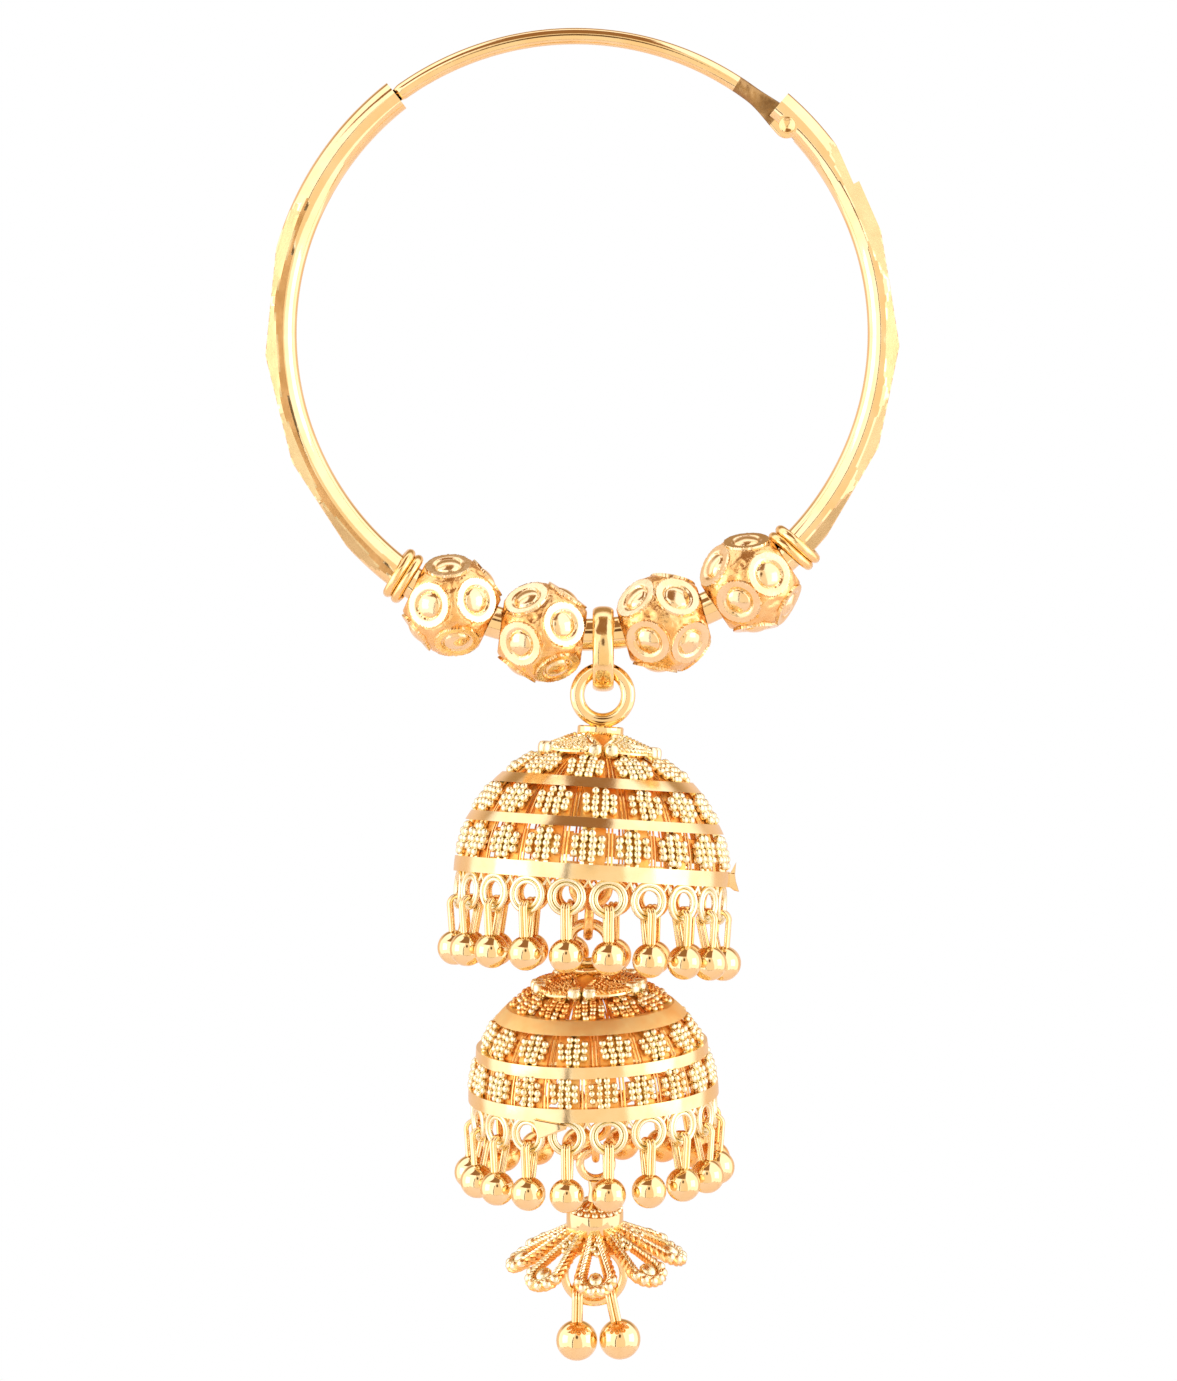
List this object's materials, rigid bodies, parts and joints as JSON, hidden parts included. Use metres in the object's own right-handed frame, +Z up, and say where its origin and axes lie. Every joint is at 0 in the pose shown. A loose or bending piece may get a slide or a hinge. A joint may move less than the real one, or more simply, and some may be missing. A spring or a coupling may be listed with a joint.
{
  "type": "jhumka earring",
  "caption": "Hinged tube hoop strung with ball beads, carrying two pierced bell domes one under the other with ball drops round their rims, and a star flower below.",
  "frame": {"origin": "middle of the ear wire's section at the top of the hoop, where it sits in the ear", "axes": "+Z up, +X to the right of the front view along the hoop's plane, front faces -Y"},
  "size_m": [0.0299, 0.0156, 0.063],
  "materials": {
    "gold_bright": "polished gold plate",
    "gold_burnished": "hammered gold plate with burnished discs",
    "gold_filigree": "granulated and twisted wire work, gold plated"
  },
  "bodies": {
    "hoop": {"hoop_tube": "gold_bright", "hinge_pin": "gold_bright", "bead_1": "gold_burnished", "bead_2": "gold_burnished", "bead_3": "gold_burnished", "bead_4": "gold_burnished", "stop_coil_left": "gold_bright", "stop_coil_right": "gold_bright"},
    "ear_wire": {"ear_wire": "gold_bright"},
    "bail": {"bail": "gold_bright"},
    "upper_jhumka": {"upper_dome": "gold_filigree", "upper_drop_01": "gold_bright", "upper_drop_02": "gold_bright", "upper_drop_03": "gold_bright", "upper_drop_04": "gold_bright", "upper_drop_05": "gold_bright", "upper_drop_06": "gold_bright", "upper_drop_07": "gold_bright", "upper_drop_08": "gold_bright", "upper_drop_09": "gold_bright", "upper_drop_10": "gold_bright", "upper_drop_11": "gold_bright", "upper_drop_12": "gold_bright", "upper_drop_13": "gold_bright", "upper_drop_14": "gold_bright", "upper_drop_15": "gold_bright", "upper_drop_16": "gold_bright", "upper_drop_17": "gold_bright", "upper_drop_18": "gold_bright", "upper_drop_19": "gold_bright", "upper_drop_20": "gold_bright"},
    "tier_link": {"tier_link": "gold_bright"},
    "lower_jhumka": {"lower_dome": "gold_filigree", "lower_drop_01": "gold_bright", "lower_drop_02": "gold_bright", "lower_drop_03": "gold_bright", "lower_drop_04": "gold_bright", "lower_drop_05": "gold_bright", "lower_drop_06": "gold_bright", "lower_drop_07": "gold_bright", "lower_drop_08": "gold_bright", "lower_drop_09": "gold_bright", "lower_drop_10": "gold_bright", "lower_drop_11": "gold_bright", "lower_drop_12": "gold_bright", "lower_drop_13": "gold_bright", "lower_drop_14": "gold_bright", "lower_drop_15": "gold_bright", "lower_drop_16": "gold_bright", "lower_drop_17": "gold_bright", "lower_drop_18": "gold_bright"},
    "star_link": {"star_link": "gold_bright"},
    "star_drop": {"star_flower": "gold_filigree", "bottom_drop_1": "gold_bright", "bottom_drop_2": "gold_bright"}
  },
  "joints": [
    {"name": "ear_wire_hinge", "type": "hinge", "parent": "hoop", "child": "ear_wire", "pos_m": [0.00968, 0, -0.00422], "axis": [0, 1, 0], "range_deg": [0, 100]},
    {"name": "bail_swing", "type": "hinge", "parent": "hoop", "child": "bail", "pos_m": [0.00099, 0, -0.02823], "axis": [1, 0, 0], "range_deg": [-30, 30]},
    {"name": "upper_jhumka_swing", "type": "hinge", "parent": "bail", "child": "upper_jhumka", "pos_m": [0.00099, 0, -0.0307], "axis": [0, 1, 0], "range_deg": [-25, 25]},
    {"name": "tier_link_swing", "type": "hinge", "parent": "upper_jhumka", "child": "tier_link", "pos_m": [0.00037, 0, -0.04097], "axis": [0.9981, 0, -0.061], "range_deg": [-21, 6]},
    {"name": "lower_jhumka_swing", "type": "hinge", "parent": "tier_link", "child": "lower_jhumka", "pos_m": [0.00027, 0.0003, -0.04247], "axis": [0.0119, 0.981, 0.1939], "range_deg": [-10, 10]},
    {"name": "star_link_swing", "type": "hinge", "parent": "lower_jhumka", "child": "star_link", "pos_m": [0.00061, 0.00219, -0.05209], "axis": [0.9993, -0.0183, 0.0314], "range_deg": [-25, 10]},
    {"name": "star_drop_swing", "type": "hinge", "parent": "star_link", "child": "star_drop", "pos_m": [0.00065, 0.00253, -0.05305], "axis": [0.007, 0.9445, 0.3284], "range_deg": [-25, 25]}
  ]
}
